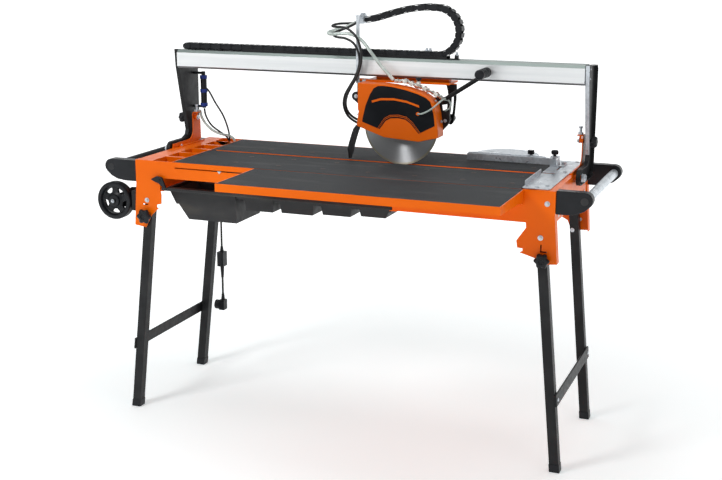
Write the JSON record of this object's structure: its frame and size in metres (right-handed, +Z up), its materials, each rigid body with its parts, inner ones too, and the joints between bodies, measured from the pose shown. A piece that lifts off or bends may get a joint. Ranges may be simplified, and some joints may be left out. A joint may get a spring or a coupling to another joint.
{
  "type": "wet tile saw",
  "caption": "Bridge-type wet tile saw: folding-leg steel table with rubber mats, tilting rail and a sliding plunge head with a water-cooled diamond blade over a water tray.",
  "frame": {"origin": "on the floor under the centre of the saw's outline, hoses and lead aside", "axes": "+X from the wheel end to the other end, +Y from the operator's side to the rail side, +Z up"},
  "size_m": [1.669, 0.854, 1.3864],
  "materials": {
    "orange_paint": "semi-gloss orange powder coat",
    "black_paint": "satin black powder coat",
    "black_plastic": "moulded black plastic",
    "tray_plastic": "thermoformed dark grey plastic",
    "mat_rubber": "fine grooved charcoal rubber",
    "zinc_plate": "zinc-plated sheet",
    "rail_aluminium": "satin anodised extrusion",
    "blade_steel": "ground steel disc with a pale sintered rim",
    "brass_fittings": "nickel and brass water fittings",
    "clear_hose": "translucent water hose",
    "cable_rubber": "black cable sheath",
    "blue_plastic": "blue and black plug connector"
  },
  "bodies": {
    "frame": {"front_apron": "orange_paint", "rear_apron": "orange_paint", "left_end_rack": "orange_paint", "right_end_plate": "orange_paint", "table_deck": "orange_paint", "front_mat": "mat_rubber", "rear_mat": "mat_rubber", "ruler_plate": "zinc_plate", "left_fin": "orange_paint", "right_fin": "orange_paint", "left_handle": "black_plastic", "right_front_ear": "black_plastic", "right_rear_ear": "black_plastic", "right_grip_tube": "zinc_plate", "wheel_carrier": "black_paint", "lead_gland": "black_plastic", "mains_lead": "cable_rubber", "lead_box": "black_plastic", "plug_lead": "cable_rubber", "lead_plug": "black_plastic"},
    "front_wheel": {"front_wheel": "black_plastic"},
    "rear_wheel": {"rear_wheel": "black_plastic"},
    "left_legs": {"left_front_leg": "black_paint", "left_rear_leg": "black_paint", "left_crossbar": "black_paint"},
    "right_legs": {"right_front_leg": "black_paint", "right_rear_leg": "black_paint", "right_crossbar": "black_paint"},
    "left_leg_knob": {"left_leg_knob": "black_plastic"},
    "right_leg_knob": {"right_leg_knob": "black_plastic"},
    "tray": {"water_tray": "tray_plastic", "water_pump": "black_plastic"},
    "tray_latch": {"tray_latch": "black_plastic"},
    "extension": {"extension_table": "orange_paint", "extension_mat": "mat_rubber"},
    "stop_carriage": {"stop_bracket": "zinc_plate"},
    "stop_knob": {"stop_knob": "black_plastic"},
    "stop_arm": {"stop_bar": "zinc_plate"},
    "bridge": {"left_upright": "black_paint", "right_upright": "black_paint", "rail": "rail_aluminium", "chain_lower_run": "black_plastic", "cable_connector": "blue_plastic"},
    "left_lock_knob": {"left_lock_knob": "black_plastic"},
    "right_lock_knob": {"right_lock_knob": "black_plastic"},
    "carriage": {"carriage": "orange_paint", "chain_post": "zinc_plate", "chain_loop": "black_plastic"},
    "head": {"head_arm": "black_paint", "motor": "black_paint", "guard_back": "orange_paint", "guard_cover": "orange_paint", "handle_grip": "black_plastic", "mud_flap": "mat_rubber", "water_valve": "brass_fittings", "feed_hose": "clear_hose", "motor_cable": "cable_rubber"},
    "blade": {"blade": "blade_steel", "spindle": "blade_steel"},
    "valve_knob": {"valve_knob": "black_plastic"}
  },
  "joints": [
    {"name": "extension_slide", "type": "slide", "parent": "frame", "child": "extension", "axis": [1, 0, 0], "range_m": [-0.115, 0]},
    {"name": "tray_slide", "type": "slide", "parent": "frame", "child": "tray", "axis": [0, 1, 0], "range_m": [-0.4, 0]},
    {"name": "tray_latch_turn", "type": "hinge", "parent": "frame", "child": "tray_latch", "pos_m": [-0.5825, -0.13, 0.818], "axis": [0, 1, 0], "range_deg": [0, 90]},
    {"name": "stop_slide", "type": "slide", "parent": "frame", "child": "stop_carriage", "axis": [0, 1, 0], "range_m": [-0.08, 0.07]},
    {"name": "stop_swivel", "type": "hinge", "parent": "stop_carriage", "child": "stop_arm", "pos_m": [0.6335, 0.268, 0.895], "axis": [0, 0, -1], "range_deg": [-45, 20]},
    {"name": "stop_knob_turn", "type": "hinge", "parent": "stop_carriage", "child": "stop_knob", "pos_m": [0.6335, 0.268, 0.92], "axis": [0, 0, 1], "continuous": true},
    {"name": "front_wheel_spin", "type": "hinge", "parent": "frame", "child": "front_wheel", "pos_m": [-0.7705, -0.11, 0.731], "axis": [0, 1, 0], "continuous": true},
    {"name": "rear_wheel_spin", "type": "hinge", "parent": "frame", "child": "rear_wheel", "pos_m": [-0.7705, 0.368, 0.731], "axis": [0, 1, 0], "continuous": true},
    {"name": "left_legs_fold", "type": "hinge", "parent": "frame", "child": "left_legs", "pos_m": [-0.63832, 0.129, 0.7446], "axis": [0, -1, 0], "range_deg": [0, 90]},
    {"name": "right_legs_fold", "type": "hinge", "parent": "frame", "child": "right_legs", "pos_m": [0.68417, 0.129, 0.7365], "axis": [0, 1, 0], "range_deg": [0, 78]},
    {"name": "left_leg_knob_turn", "type": "hinge", "parent": "frame", "child": "left_leg_knob", "pos_m": [-0.6455, -0.136, 0.691], "axis": [0, -1, 0], "continuous": true},
    {"name": "right_leg_knob_turn", "type": "hinge", "parent": "frame", "child": "right_leg_knob", "pos_m": [0.6955, -0.136, 0.671], "axis": [0, -1, 0], "continuous": true},
    {"name": "rail_tilt", "type": "hinge", "parent": "frame", "child": "bridge", "pos_m": [0.0235, 0.1359, 0.873], "axis": [1, 0, 0], "range_deg": [0, 45]},
    {"name": "left_lock_knob_turn", "type": "hinge", "parent": "bridge", "child": "left_lock_knob", "pos_m": [-0.7065, 0.254, 0.967], "axis": [-1, 0, 0], "continuous": true},
    {"name": "right_lock_knob_turn", "type": "hinge", "parent": "bridge", "child": "right_lock_knob", "pos_m": [0.7535, 0.254, 0.967], "axis": [1, 0, 0], "continuous": true},
    {"name": "carriage_slide", "type": "slide", "parent": "bridge", "child": "carriage", "axis": [1, 0, 0], "range_m": [-0.55, 0.39], "deforming": ["chain_loop"]},
    {"name": "head_plunge", "type": "hinge", "parent": "carriage", "child": "head", "pos_m": [-0.0085, 0.174, 1.086], "axis": [0, -1, 0], "range_deg": [0, 14], "deforming": ["feed_hose", "motor_cable"]},
    {"name": "blade_spin", "type": "hinge", "parent": "head", "child": "blade", "pos_m": [0.1571, 0.136, 0.9996], "axis": [0, 1, 0], "continuous": true},
    {"name": "valve_turn", "type": "hinge", "parent": "head", "child": "valve_knob", "pos_m": [0.2135, 0.139, 1.15], "axis": [0, 0, 1], "range_deg": [0, 90]}
  ]
}
